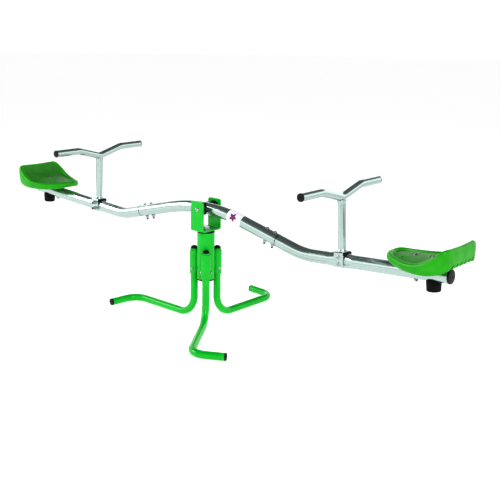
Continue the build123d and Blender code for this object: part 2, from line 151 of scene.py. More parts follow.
# %% [markdown]
# ## Green powder coat
# The column, the yoke and the legs are mild steel with a gloss polyester powder coat. The powder is sprayed
# on dry and melts into one thick skin in the oven. It never flows quite flat, and that leaves orange peel:
# shallow lumps a millimetre or two across that make every reflection tremble a little. It is a plastic skin
# and not bare metal, so the shader is not metallic and has an IOR of 1.5. The peel is drawn 4 mm wide,
# because at its true size it would be lost. The tint drifts very slightly, as a hand-sprayed batch does.

# %% Green powder coat
green_coat, tree, place = new_material("green_polyester_powder_coat")
drift = noise(tree, place, 70, 2.0)
peel = noise(tree, place, 4, 1.0)
finish_material(tree, {
    "Base Color": two_tints(tree, drift, "#09A82B", "#0FB233", start=0.35, end=0.65),
    "Roughness": between(tree, drift, 0.16, 0.26), "IOR": 1.5, "Specular IOR Level": 0.35,
    "Normal": relief(tree, peel, strength=0.18, depth=0.0004)})
print("green coat has", len(tree.nodes), "nodes")

# %% [markdown]
# ## Silver powder coat
# The beam and the handles wear a metallic silver powder: the same skin with aluminium flakes in it. Most of
# what the eye gets is a soft mirror, so it is nearly all metallic, with a cool grey-green cast. Flakes are
# about a tenth of a millimetre, far too fine to show, so they are drawn 1.6 mm wide and kept faint. Each
# flake lies at its own tilt, and that is what the cells do to the brightness and the roughness.

# %% Silver powder coat
silver_coat, tree, place = new_material("silver_flake_powder_coat")
flake = add(tree, "TexVoronoi", links={"Vector": place, "Scale": per_metre(1.6)})
flake_value = add(tree, "SeparateColor", links={"Color": flake.outputs["Color"]})
peel = noise(tree, place, 5, 1.0)
finish_material(tree, {
    "Base Color": two_tints(tree, flake_value.outputs["Red"], "#A6B6B2", "#B4C4C0"), "Metallic": 0.88,
    "Roughness": between(tree, flake_value.outputs["Green"], 0.13, 0.19),
    "Normal": relief(tree, peel, strength=0.12, depth=0.0004)})
print("silver coat has", len(tree.nodes), "nodes")

# %% [markdown]
# ## Moulded seat plastic, smooth and grained
# The seats are high-density polyethylene, injection moulded in one shot with the colour in the resin. The
# rim and the walls come off a polished tool and have a waxy semi-gloss with long, shallow sink waves. The
# dish comes off a spark-eroded tool: a fine grain that keeps a child from sliding and turns the highlight
# into a dull bloom. The grain is half a millimetre on the real part and is drawn 1.8 mm wide here.

# %% Seat plastics
seat_gloss, tree, place = new_material("polyethylene_polished_tool")
wave = noise(tree, place, 45, 1.0)
finish_material(tree, {
    "Base Color": two_tints(tree, wave, "#1F9009", "#289C10", start=0.3, end=0.7), "Roughness": 0.34,
    "IOR": 1.52, "Specular IOR Level": 0.3, "Normal": relief(tree, wave, strength=0.12, depth=0.002)})

seat_grain, tree, place = new_material("polyethylene_spark_eroded_tool")
grain = noise(tree, place, 1.8, 3.0)
scuff = noise(tree, place, 30, 2.0)
finish_material(tree, {
    "Base Color": two_tints(tree, scuff, "#33832A", "#3D8E33", start=0.3, end=0.7), "Roughness": 0.55,
    "IOR": 1.52, "Normal": relief(tree, grain, strength=0.5, depth=0.0005)})
print("seat plastics made")

# %% [markdown]
# ## Black plastic and rubber
# Plugs, bushes and thread caps are black polypropylene with a light tool grain: they catch a small satin
# highlight. The bumpers and the saddles under the handles are moulded EPDM rubber, which is blacker and
# duller, because its surface is full of pores and blooms a little.

# %% Black plastic and rubber
black_plastic, tree, place = new_material("polypropylene_black")
grain = noise(tree, place, 1.5, 2.0)
finish_material(tree, {
    "Base Color": linear("#0D0E10"), "Roughness": between(tree, grain, 0.28, 0.45), "IOR": 1.49,
    "Specular IOR Level": 0.35, "Normal": relief(tree, grain, strength=0.25, depth=0.0002)})

black_rubber, tree, place = new_material("epdm_rubber_moulded")
bloom = noise(tree, place, 12, 4.0)
finish_material(tree, {
    "Base Color": two_tints(tree, bloom, "#08080A", "#17171A"), "Roughness": 0.65, "IOR": 1.5,
    "Specular IOR Level": 0.2, "Normal": relief(tree, bloom, strength=0.2, depth=0.0005)})
print("black plastic and rubber made")

# %% [markdown]
# ## Zinc plate, vinyl and printing ink
# Bolts, nuts, washers and the spindle are steel with bright zinc plate and a clear blue passivation. It is
# a metal with soft, slightly uneven polish, because the plate is tumbled in a barrel. The label is a white
# self-adhesive vinyl under a gloss film, and its mark is plum screen ink.

# %% Zinc, vinyl and ink
zinc, tree, place = new_material("bright_zinc_plate")
cloud = noise(tree, place, 6, 3.0)
finish_material(tree, {
    "Base Color": two_tints(tree, cloud, "#8F979B", "#B9BEBE"), "Metallic": 1.0,
    "Roughness": between(tree, cloud, 0.2, 0.42)})

vinyl, tree, place = new_material("white_vinyl_gloss_film")
ripple = noise(tree, place, 14, 1.0)
finish_material(tree, {
    "Base Color": linear("#E2E3E8"), "Roughness": 0.22, "IOR": 1.5,
    "Normal": relief(tree, ripple, strength=0.1, depth=0.0005)})

ink, tree, place = new_material("plum_screen_ink")
cover = noise(tree, place, 3, 2.0)
finish_material(tree, {
    "Base Color": two_tints(tree, cover, "#5E0C5A", "#7C1166"), "Roughness": 0.3, "IOR": 1.5})
print("materials so far:", [m.name for m in bpy.data.materials])

# %% [markdown]
# ## Paint the frame
# The record says which slot each CAD node takes its finish from, so one loop paints them all. Tubes, the
# yoke and the welded column have the right shape already, and they stay as they are.

# %% Paint the frame
finishes = {
    "green_powder_coat": green_coat, "silver_powder_coat": silver_coat, "seat_plastic": seat_gloss,
    "black_plastic": black_plastic, "black_rubber": black_rubber, "zinc_plated_steel": zinc,
    "label_vinyl": vinyl,
}
slot_of = {part["node"]: part["material_slot"] for part in frame["record"]["subparts"]}
body_of = {node: body for body, held in frame["record"]["behaviour"]["bodies"].items() for node in held}
for name, node in nodes.items():
    node.data.materials.clear()
    node.data.materials.append(finishes[slot_of[name]])
print("painted", len(nodes), "nodes")

# %% [markdown]
# ## Camera
# The camera stands in front and a little above, on the side of the labelled end. Its place is worked out
# from the direction it looks from and the distance, like a tripod on an arc around the object.

# %% Place the camera
AZIMUTH = math.radians(40.17)
ELEVATION = math.radians(15.0)
ROLL = math.radians(1.04)
DISTANCE = 3.3395
LENS = 61.2
SENSOR_WIDTH = 36
AIM_RIGHT = 0.1734
AIM_UP = 0.2935


def placed(name, data):
    """An object in the scene that shows the given data."""
    thing = bpy.data.objects.new(name, data)
    bpy.context.scene.collection.objects.link(thing)
    return thing


def frame_of(x_axis, y_axis, z_axis):
    """The turn that lays X, Y and Z along three directions at right angles."""
    return Matrix((x_axis, y_axis, z_axis)).transposed().to_4x4()


level = Vector((math.cos(AZIMUTH), math.sin(AZIMUTH), 0))
back = Vector((level.y * math.cos(ELEVATION), -level.x * math.cos(ELEVATION), math.sin(ELEVATION)))
upward = back.cross(level)
aim = Vector((0, 0, AIM_UP)) + level * AIM_RIGHT
right = level * math.cos(ROLL) + upward * math.sin(ROLL)
top = upward * math.cos(ROLL) - level * math.sin(ROLL)
camera = placed("camera", bpy.data.cameras.new("camera"))
camera.data.lens = LENS
camera.data.sensor_width = SENSOR_WIDTH
camera.matrix_world = Matrix.Translation(aim + back * DISTANCE) @ frame_of(right, top, back)
bpy.context.scene.camera = camera
print("camera stands at", [round(v, 3) for v in camera.matrix_world.translation])

# %% [markdown]
# ## Studio
# The floor is a wide white disc. The light comes from all round, as in a white tent with a dark roof:
# bright above the horizon on every side and nearly black overhead. A painted tube shows such a studio as
# stripes, a dark top, a bright line under it and a middle grey below, and those stripes are how the eye
# knows that it is round and silver. Two large soft lamps, a strong one on the right and a weaker one on the
# left, shape the seats.

# %% Floor and light
FLOOR_RADIUS = 30
LAMP_SIZE = 1.6
SKY_STRENGTH = 1.32
bpy.ops.mesh.primitive_circle_add(vertices=96, radius=FLOOR_RADIUS, fill_type="NGON")
floor = bpy.context.object
floor.name = "floor"
floor_paint, tree, place = new_material("studio_floor_paper")
fibre = noise(tree, place, 900, 1.0)
finish_material(tree, {
    "Base Color": two_tints(tree, fibre, "#F0F0F1", "#F4F4F4"), "Roughness": 0.9, "Specular IOR Level": 0.1,
    "Emission Color": linear("#FFFFFF"), "Emission Strength": 0.35})
floor.data.materials.append(floor_paint)
floor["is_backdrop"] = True

world = bpy.data.worlds.new("studio")
bpy.context.scene.world = world
world.use_nodes = True
tree = world.node_tree
tree.nodes.clear()
# height of the direction looked in, as the sine of its elevation, and how bright the tent is there
TENT = ((0.0, 0.68), (0.04, 0.7), (0.12, 1.0), (0.42, 1.0), (0.5, 0.1), (1.0, 0.05))
direction = add(tree, "TexCoord").outputs["Generated"]
height = add(tree, "SeparateXYZ", links={"Vector": direction})
ramp = add(tree, "ValToRGB", links={"Fac": height.outputs["Z"]})
for index, (sine, bright) in enumerate(TENT):
    stop = ramp.color_ramp.elements[index] if index < 2 else ramp.color_ramp.elements.new(sine)
    stop.position = sine
    stop.color = (bright, bright, bright, 1)
tent = add(tree, "Background", links={"Color": ramp.outputs["Color"], "Strength": SKY_STRENGTH})
add(tree, "OutputWorld", links={"Surface": tent.outputs["Background"]})

LAMPS = {"key": (62, (2.6, -1.6, 3.0)), "fill": (36, (-2.8, -1.8, 1.9))}
LAMP_AIM = Vector((0, 0, 0.3))
for name, (watts, place) in LAMPS.items():
    lamp = bpy.data.lights.new(name, "AREA")
    lamp.energy = watts
    lamp.size = LAMP_SIZE
    stand = placed(name, lamp)
    stand.location = place
    stand.rotation_euler = (Vector(place) - LAMP_AIM).to_track_quat("Z", "Y").to_euler()
bpy.context.scene.view_settings.view_transform = "Standard"
bpy.context.scene.view_settings.look = "High Contrast"
print("studio ready")

# %% [markdown]
# ## Turned shapes
# Bolts, nuts, plugs and bumpers are all turned shapes: a profile spun round an axis. One function spins a
# list of rings. A ring may also be held inside a hexagon, and that gives a nut with true chamfered corners
# and a bolt with a hexagon socket. The result is a list of points and faces in millimetres, so that pieces
# can be moved and joined before they become one mesh.

# %% Spin and join
MERGE = 1e-6


def polar(radius, angle, height=0.0):
    return Vector((radius * math.cos(angle), radius * math.sin(angle), height))


def spin(rings, steps=48):
    """Rings are (radius, height) or (radius, height, apothem of a hexagon). Radius 0 makes a single point."""
    points = []
    faces = []
    previous = None
    for ring in rings:
        radius, height = ring[0], ring[1]
        apothem = ring[2] if len(ring) > 2 else None
        start = len(points)
        if radius == 0:
            points.append(Vector((0, 0, height)))
            current = [start] * steps
        else:
            for i in range(steps):
                angle = 2 * math.pi * i / steps
                reach = radius
                if apothem:
                    off_flat = (angle + math.pi / 6) % (math.pi / 3) - math.pi / 6
                    reach = min(radius, apothem / math.cos(off_flat))
                points.append(polar(reach, angle, height))
            current = list(range(start, start + steps))
        if previous:
            for i in range(steps):
                j = (i + 1) % steps
                corners = [previous[i], previous[j], current[j], current[i]]
                faces.append(tuple(dict.fromkeys(corners)))
        previous = current
    return points, [face for face in faces if len(face) > 2]


def moved(shape, matrix):
    return [matrix @ point for point in shape[0]], shape[1]


def joined(shapes):
    points = []
    faces = []
    for shape in shapes:
        offset = len(points)
        points += shape[0]
        faces += [tuple(i + offset for i in face) for face in shape[1]]
    return points, faces


def cap_rings(radius, rise, base, inner=0.0, steps=7):
    """Rings of a shallow spherical cap, from its rim inwards."""
    ball = (radius ** 2 + rise ** 2) / (2 * rise)
    radii = [inner + (radius - inner) * math.cos(0.5 * math.pi * i / steps) for i in range(steps + 1)]
    return [(r if r > 0.02 else 0, base + rise - ball + math.sqrt(ball ** 2 - r ** 2)) for r in radii]


def band(first, second, count):
    """Faces between two rings of points, given the number of each ring's first point."""
    return [(first + i, first + (i + 1) % count, second + (i + 1) % count, second + i) for i in range(count)]


def new_mesh(name, shape):
    mesh = bpy.data.meshes.new(name)
    mesh.from_pydata(shape[0], [], shape[1])
    return mesh


def sealed(mesh, gap):
    """Merges points closer than the gap, turns the faces outwards, and tells if the mesh is watertight."""
    work = bmesh.new()
    work.from_mesh(mesh)
    bmesh.ops.remove_doubles(work, verts=work.verts, dist=gap)
    bmesh.ops.recalc_face_normals(work, faces=work.faces)
    watertight = all(edge.is_manifold for edge in work.edges)
    work.to_mesh(mesh)
    work.free()
    return watertight


def riding(name, mesh, body, sharp):
    """An object that rides on a body, smooth but for edges sharper than the given angle in degrees."""
    mesh.shade_smooth()
    mesh.set_sharp_from_angle(angle=math.radians(sharp))
    piece = placed(name, mesh)
    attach(piece, body)
    return piece


def make_piece(name, shape, material, body, sharp=32):
    """A mesh object from a shape in millimetres."""
    mesh = new_mesh(name, ([point * MM for point in shape[0]], shape[1]))
    sealed(mesh, MERGE)
    mesh.materials.append(material)
    return riding(name, mesh, body, sharp)


def stand_in(node, shape, sharp=32):
    """A detailed piece that takes the place, body and finish of a CAD node."""
    piece = make_piece("shown_" + node, shape, finishes[slot_of[node]], body_of[node], sharp)
    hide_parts(node)


print("a spun point cap has", len(spin(cap_rings(5, 2, 0))[0]), "points")

# %% [markdown]
# ## Where the fasteners are
# Identical bolts share one CAD node as separate solids. The mesh of such a node is parted into its islands,
# and each island is measured along its own axis: where it starts, how long it is and how wide. The axes
# follow from the slopes of the two beam tubes. The centre tube falls away from the pivot, the outer tubes
# rise a little, and where the beam ends is measured on the frame.

# %% Measure the solids of a node
CENTRE_SLOPE = math.radians(14.1)
OUTER_RISE = math.radians(3.6)
# how deep the end face of a tube is taken, in metres
END_DEPTH = 0.00005
UP = Vector((0, 0, 1))
ACROSS = Vector((0, -1, 0))
other_end = Matrix.Rotation(math.pi, 4, "Z")
ENDS = (("right", Matrix()), ("left", other_end))


def islands(node):
    """The separate solids of a node, as lists of points in metres, always in the same order."""
    work = bmesh.new()
    work.from_mesh(nodes[node].data)
    bmesh.ops.remove_doubles(work, verts=work.verts, dist=MERGE)
    found = []
    left = set(work.verts)
    while left:
        stack = [left.pop()]
        group = []
        while stack:
            vert = stack.pop()
            group.append(vert.co.copy())
            for edge in vert.link_edges:
                other = edge.other_vert(vert)
                if other in left:
                    left.remove(other)
                    stack.append(other)
        found.append(group)
    work.free()
    return sorted(found, key=lambda group: tuple(middle(group)))


def middle(points):
    low = Vector([min(p[i] for p in points) for i in range(3)])
    high = Vector([max(p[i] for p in points) for i in range(3)])
    return (low + high) / 2


def measured(node, axis_at):
    """For each solid: a frame at the foot of its axis in mm, its length, and its points in that frame."""
    results = []
    for points in islands(node):
        axis = axis_at(middle(points)).normalized()
        turn = axis.to_track_quat("Z", "Y").to_matrix().to_4x4()
        local = [turn.inverted() @ p for p in points]
        centre = middle(local)
        foot = Vector((centre.x, centre.y, min(p.z for p in local)))
        local = [(p - foot) / MM for p in local]
        place = Matrix.Translation(turn @ foot / MM) @ turn
        results.append((place, max(p.z for p in local), local))
    return results


outer_points = [v.co for v in nodes["outer_tube_right"].data.vertices]
run = Vector((math.cos(OUTER_RISE), 0, math.sin(OUTER_RISE)))
run_up = Vector((-run.z, 0, run.x))
run_frame = frame_of(run, -ACROSS, run_up)
last = max(p.dot(run) for p in outer_points)
beam_end = middle([p for p in outer_points if p.dot(run) > last - END_DEPTH])
centre_run = Vector((math.cos(CENTRE_SLOPE), 0, -math.sin(CENTRE_SLOPE)))
centre_up = Vector((math.sin(CENTRE_SLOPE), 0, math.cos(CENTRE_SLOPE)))
print("the beam ends at", [round(v / MM, 1) for v in beam_end])


def for_both_ends(direction):
    """The axis of a fastener that is the same at both ends of the beam, but for the half turn."""
    return lambda centre: direction if centre.x > 0 else other_end @ direction


sleeve_angles = []
for leg in ("front", "right", "left"):
    low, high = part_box("leg_top_cap_" + leg)
    sleeve_angles.append(math.atan2(low[1] + high[1], low[0] + high[0]))


def across_sleeve(centre):
    here = math.atan2(centre.y, centre.x)
    nearest = min(sleeve_angles, key=lambda angle: abs(math.remainder(here - angle, 2 * math.pi)))
    return Vector((math.sin(nearest), -math.cos(nearest), 0))


def off_axis(point):
    return math.hypot(point.x, point.y)


def stand_in_solids(node, axis_at, shape_of, word, *more):
    """Draws each solid of a node again, with a function that takes its length and its points."""
    found = measured(node, axis_at)
    stand_in(node, joined([moved(shape_of(length, points, *more), place) for place, length, points in found]))
    print(node, "holds", len(found), word + ",", round(found[0][1], 1), "mm long")

# %% [markdown]
# ## Bolts
# The bolts are button heads with a hexagon socket. The head is a low dome with a small flat round the
# socket, the shank runs plain under the head, and the last stretch is thread. Threads are drawn as rings,
# because from outside a helix this fine looks the same.

# %% Bolts
THREAD_PITCH = 1.25
THREAD_LENGTH = 14
THREAD_START = 0.9
THREAD_DEPTH = 0.6
SOCKET_SHARE = 0.62


def bolt_shape(length, points):
    tip = [off_axis(p) for p in points if p.z < 0.1]
    shank_r = min(tip) if min(tip) >= 1 else max(tip)
    head_r = max(map(off_axis, points))
    head_base = min(p.z for p in points if off_axis(p) > shank_r * 1.3)
    socket = shank_r * SOCKET_SHARE
    rings = [(0, 0), (shank_r - 0.9, 0), (shank_r - 0.1, 0.7)]
    turns = int(min(THREAD_LENGTH, head_base * 0.5) / THREAD_PITCH)
    root = shank_r - THREAD_DEPTH
    for i in range(turns):
        z = THREAD_START + i * THREAD_PITCH
        rings += [(shank_r, z), (shank_r, z + 0.25), (root, z + 0.62), (root, z + 0.75)]
    rings += [(shank_r, THREAD_START + turns * THREAD_PITCH + 0.3), (shank_r, head_base)]
    rings += [(head_r - 0.4, head_base), (head_r, head_base + 0.35), (head_r, head_base + 1.0)]
    dome = cap_rings(head_r - 0.05, length - head_base - 1.2, head_base + 1.2, socket * 1.35)
    crest = dome[-1][1]
    rings += dome + [(socket * 1.2, crest - 0.05), (socket * 1.16, crest - 0.3, socket)]
    rings += [(socket * 1.16, crest - 2.2, socket), (0, crest - 2.9)]
    return spin(rings, steps=36)


bolt_axes = {
    "joint_bolts": for_both_ends(centre_up), "seat_bolts": for_both_ends(run_up),
    "handle_bolts": for_both_ends(ACROSS), "leg_bolts": across_sleeve, "pivot_bolt": lambda centre: ACROSS,
}
for node, axis in bolt_axes.items():
    stand_in_solids(node, axis, bolt_shape, "bolts")

# %% [markdown]
# ## Nuts and washers
# The nuts are flanged lock nuts: a hexagon whose corners are chamfered top and bottom, a flange that is
# part of the nut, and a ring of nylon that grips the thread. Washers get a punched edge, rounded on one
# side.

# %% Nuts and washers
# the hexagon's corners as a share of the flange, and its flats as a share of the corners
CORNER_SHARE = 0.94 / 1.05
FLAT_SHARE = 0.866


def nut_shape(length, points):
    """The flange is at the top of the measured solid, against the tube."""
    flange_r = max(map(off_axis, points))
    bore = min(map(off_axis, points))
    corner = flange_r * CORNER_SHARE
    apothem = corner * FLAT_SHARE
    rings = [(bore, length), (flange_r - 0.3, length), (flange_r, length - 0.4), (flange_r, length - 0.9)]
    rings += [(corner + 0.2, length - 1.8), (corner, length - 2.0, apothem), (corner, 1.3, apothem)]
    rings += [(corner - 0.9, 0.6, apothem), (apothem - 0.9, 0.5), (apothem - 1.4, 0.0), (bore + 0.5, 0.0)]
    return spin(rings + [(bore, 0.5), (bore, length)])


def washer_shape(length, points):
    outer = max(map(off_axis, points))
    bore = min(map(off_axis, points))
    rings = [(bore, 0), (outer - 0.3, 0), (outer, 0.3), (outer, length - 0.6), (outer - 0.5, length)]
    return spin(rings + [(bore + 0.3, length), (bore, length - 0.3), (bore, 0)])


nut_axes = {
    "joint_nuts": for_both_ends(centre_up), "seat_nuts": for_both_ends(run_up),
    "handle_nuts": for_both_ends(ACROSS), "leg_nuts": across_sleeve,
    "pivot_nut": lambda centre: ACROSS, "spindle_nut": lambda centre: UP,
}
for node, axis in nut_axes.items():
    stand_in_solids(node, axis, nut_shape, "nuts")
washer_axes = {"seat_washers": for_both_ends(run_up), "spindle_washer": lambda centre: UP}
for node, axis in washer_axes.items():
    stand_in_solids(node, axis, washer_shape, "washers")

# %% [markdown]
# ## Caps on the thread ends
# Each thread end wears a small push-on cap with a domed end and a bead round its mouth, so that no edge can
# scratch a leg.

# %% Thread caps


def thread_cap_shape(length, points):
    """The mouth is at the top of the measured solid and the dome hangs down."""
    radius = max(map(off_axis, points))
    rings = [(0, length - 0.3), (radius - 1.2, length - 0.3), (radius - 0.7, length)]
    rings += [(radius - 0.1, length - 0.3), (radius, length - 0.8), (radius - 0.25, length - 1.3)]
    rings += [(r, length - 2.0 - z) for r, z in cap_rings(radius - 0.25, 2.9, 0.0)]
    return spin(rings, steps=32)


cap_axes = {
    "joint_thread_caps": for_both_ends(centre_up), "handle_thread_caps": for_both_ends(ACROSS),
    "pivot_nut_cap": lambda centre: ACROSS,
}
for node, axis in cap_axes.items():
    stand_in_solids(node, axis, thread_cap_shape, "caps")

# %% [markdown]
# ## Plugs in the tube ends
# Every open tube is closed with a ribbed push-in plug. Only its head shows: a short cylinder with a
# moulding radius, a shallow step, and on the big plugs a dimple where the tool let the plastic in. The legs
# have taller, rounder caps. All of them are made by one function from the size of the CAD plug.

# %% Plugs
TUBE_WALL = 2.0
PUSH_FIT = 0.15
# the shallow step, as shares of the head's radius and rise
STEP_ON_HEAD = ((0.72, 0.62), (0.69, 0.55), (0.66, 0.62))
# the bowl of the dimple, as shares of its radius
DIMPLE_BOWL = ((0.75, 0.55), (0.4, 0.8), (0, 0.88))


def plug_shape(length, points, dimple):
    """Head at the top, stem with three sealing ribs below it. A dimple of 0 gives a plain dome."""
    radius = max(map(off_axis, points))
    rim = [p.z for p in points if off_axis(p) > radius - 0.05]
    low, high = min(rim), max(rim)
    rise = length - high
    bore = radius - TUBE_WALL - PUSH_FIT
    rings = [(0, low - 1), (bore - 2, low - 1), (bore - 2, 0.2), (bore - 1, 0)]
    for i in range(3):
        z = low * (0.2 + 0.25 * i)
        rings += [(bore - 0.8, z), (bore, z + 0.8), (bore - 0.8, z + 1.4)]
    rings += [(bore - 0.8, low), (radius - 0.5, low), (radius, low + 0.5), (radius, high - 0.6)]
    if dimple:
        rings += [(radius - 0.25, high), (radius - 1.0, high + 0.5), (radius - 2.2, high + 0.75)]
        rings += [(radius * share, high + rise * lift) for share, lift in STEP_ON_HEAD]
        rings += [(radius * 0.4, length - 0.25), (dimple + 0.8, length), (dimple, length - 0.35)]
        rings += [(dimple * share, length - dimple * sunk) for share, sunk in DIMPLE_BOWL]
    else:
        rings += [(radius - 0.08, high - 0.05)] + cap_rings(radius, rise, high)[1:]
    return spin(rings, steps=64)


def plug_axes(node):
    if node.startswith("end_plug"):
        return for_both_ends(run)
    if node.startswith("grip"):
        return lambda centre: Vector((0, math.copysign(1, centre.y), 0))
    if node.startswith("foot"):
        mount = next(m for m in frame["record"]["mounts"] if m["name"] == node.replace("foot_cap", "foot"))
        return lambda centre: Vector(mount["axis"])
    return lambda centre: UP


DIMPLES = {"end_plug": 3.6, "foot_cap": 0, "grip": 1.8, "leg_top_cap": 0}
for node in sorted(nodes):
    for start, dimple in DIMPLES.items():
        if node.startswith(start):
            stand_in_solids(node, plug_axes(node), plug_shape, "plugs", dimple)

# %% [markdown]
# ## The seat's outline and its floor
# The seat is a saddle. Seen from above it is a pear with a broad, flat back. Seen from the side it has a
# raised nose, a low waist and a tall back. Both are given at once by one closed loop of points round its
# rim: along, across, height of the rim and height of the wall's lower edge, in millimetres from the seat's
# front and above the beam's centre line. A smooth curve runs through the points, so few are needed.
#
# Inside the rim lies the floor. Its ridge runs along the middle, and from there it falls or climbs to the
# foot of the rim, slowly at first and then faster. A child sits on the crown and is held by the climb
# behind.

# %% Outline and floor
RIM_POINTS = (
    (-2, 0, 64, 42), (2, 26, 65, 41), (14, 50, 63, 36), (44, 73, 57, 30), (92, 97, 52, 24),
    (140, 111, 53, 21), (182, 115, 66, 21), (216, 113, 86, 26), (240, 106, 101, 33),
    (254, 89, 105, 39), (257, 48, 104, 42), (257, 0, 103, 42),
)
FLOOR_RIDGE = ((16, 52), (55, 56), (95, 57), (150, 58.5), (190, 63), (236, 88))
RIDGE_FROM = 55.0
RIDGE_TO = 182.0
FLOOR_POWER = 2.3
RIM_COUNT = 168
CURVE_STEPS = 16


def curve_through(points, per_span):
    """A closed smooth curve through points that may have any number of values each."""
    count = len(points)
    result = []
    for i in range(count):
        a, b, c, d = (points[(i + k) % count] for k in (-1, 0, 1, 2))
        for step in range(per_span):
            t = step / per_span
            value = []
            for p, q, r, s in zip(a, b, c, d):
                bend = (2 * p - 5 * q + 4 * r - s) * t ** 2 + (3 * q - p - 3 * r + s) * t ** 3
                value.append(0.5 * (2 * q + (r - p) * t + bend))
            result.append(value)
    return result


def evenly(loop, count):
    """The same closed curve with its points at equal distances, seen from above."""
    closed = loop + [loop[0]]
    steps = [math.dist(p[:2], q[:2]) for p, q in zip(closed, closed[1:])]
    total = sum(steps)
    result = []
    index, passed = 0, 0.0
    for k in range(count):
        target = total * k / count
        while passed + steps[index] < target:
            passed += steps[index]
            index += 1
        share = (target - passed) / steps[index]
        result.append([p + (q - p) * share for p, q in zip(closed[index], closed[index + 1])])
    return result


mirrored = [(x, -y, rim, low) for x, y, rim, low in reversed(RIM_POINTS[1:-1])]
rim_loop = evenly(curve_through(list(RIM_POINTS) + mirrored, CURVE_STEPS), RIM_COUNT)


def ridge_height(x):
    for (x0, z0), (x1, z1) in zip(FLOOR_RIDGE, FLOOR_RIDGE[1:]):
        if x <= x1:
            share = max(0.0, (x - x0) / (x1 - x0))
            ease = share * share * (3 - 2 * share)
            return z0 + (z1 - z0) * ease
    return FLOOR_RIDGE[-1][1]


print("rim of", round(max(p[0] for p in rim_loop)), "by", round(2 * max(p[1] for p in rim_loop)), "mm")

# %% [markdown]
# ## The seat's skin
# At each point of the loop the same section is drawn: up the outer wall, over a rolled rim, down a short
# inner step to the floor, and in to the ridge, then back underneath one wall thickness lower. Sections side
# by side make a grid, and the grid closes on itself, so the seat is one watertight skin like a moulding.
# The step at the foot of the rim is where the polished tool ends and the grain starts, so the floor's faces
# get the grained plastic.

# %% Seat skin
SKIN = 4.5
# inwards from the outline and down from the rim, over the roll
ROLL_SECTION = (
    (0.0, -16.0), (0.3, -11.0), (1.4, -6.8), (3.4, -3.4), (6.2, -1.1), (9.4, 0.0), (12.2, -0.1),
    (14.6, -1.2), (16.4, -3.2), (17.4, -5.8), (18.2, -7.4), (19.8, -8.0),
)
WALL_LEAN = 4.5
INNER_WALL = WALL_LEAN + SKIN
SEAT_MIDDLE = 120
WALL_STEPS = 6
FLOOR_STEPS = 14
STEP_INWARD, STEP_DOWN = ROLL_SECTION[-1]


def seat_skin():
    """Points, faces and the set of grained faces, with X from the seat's front edge."""
    count = len(rim_loop)
    columns = []
    for k, (x, y, rim, low) in enumerate(rim_loop):
        before, after = rim_loop[k - 1], rim_loop[(k + 1) % count]
        inward = Vector((-(after[1] - before[1]), after[0] - before[0])).normalized()
        if inward.dot(Vector((SEAT_MIDDLE - x, -y))) < 0:
            inward = -inward

        def at(distance, z):
            return Vector((x + inward.x * distance, y + inward.y * distance, z))

        foot = at(STEP_INWARD, rim + STEP_DOWN)
        ridge_x = min(max(foot.x, RIDGE_FROM), RIDGE_TO)
        ridge = Vector((ridge_x, 0, ridge_height(ridge_x)))

        def floor_at(share, drop):
            flat = ridge.lerp(foot, share)
            flat.z = ridge.z + (foot.z - ridge.z) * share ** FLOOR_POWER - drop
            return flat

        column = [floor_at(i / FLOOR_STEPS, 0) for i in range(FLOOR_STEPS)]
        column += [at(inwards, rim + down) for inwards, down in reversed(ROLL_SECTION)]
        wall_top = rim + ROLL_SECTION[0][1]
        for i in range(1, WALL_STEPS):
            share = i / WALL_STEPS
            column.append(at(WALL_LEAN * share ** 2, wall_top + (low + 1 - wall_top) * share))
        column += [at(WALL_LEAN, low + 0.8), at(WALL_LEAN + 0.8, low)]
        column += [at(INNER_WALL - 1, low), at(INNER_WALL, low + 1)]
        under = rim + STEP_DOWN - SKIN
        column += [at(INNER_WALL + 0.5, low + (under - 2 - low) * share) for share in (0.35, 0.7)]
        column += [at(INNER_WALL + 3, under - 0.6)]
        column += [floor_at(i / FLOOR_STEPS, SKIN) for i in range(FLOOR_STEPS, -1, -1)]
        columns.append(column)
    rows = len(columns[0])
    points = [point for column in columns for point in column]
    faces = []
    grained = set()
    for k in range(count):
        here, there = k * rows, (k + 1) % count * rows
        for i in range(rows - 1):
            if i < FLOOR_STEPS:
                grained.add(len(faces))
            faces.append((here + i, there + i, there + i + 1, here + i + 1))
    return points, faces, grained


skin_points, skin_faces, skin_grained = seat_skin()
print("seat skin:", len(skin_points), "points,", len(skin_faces), "faces,", len(skin_grained), "grained")

# %% [markdown]
# ## Slots, sunk flats and notches
# Four slots drain rain from the floor, and a flat is sunk round each bolt so that its washer sits level
# below the skin. Slanted notches along the lower edge of the back are the gaps between moulded teeth. They
# are all cut with closed cutters and an exact boolean, which leaves clean edges, before the seat is put on
# the beam.

# %% Cut the seat


def stadium(radius, straight, low, high, steps=10):
    """A closed upright prism with half-round ends, drawn out along Y by twice the straight part."""
    count = 2 * steps
    points = []
    for height in (low, high):
        for i in range(count):
            angle = math.pi * i / steps
            shift = straight if i < steps else -straight
            points.append(Vector((radius * math.cos(angle), radius * math.sin(angle) + shift, height)))
    return points, [tuple(reversed(range(count))), tuple(range(count, 2 * count))] + band(0, count, count)


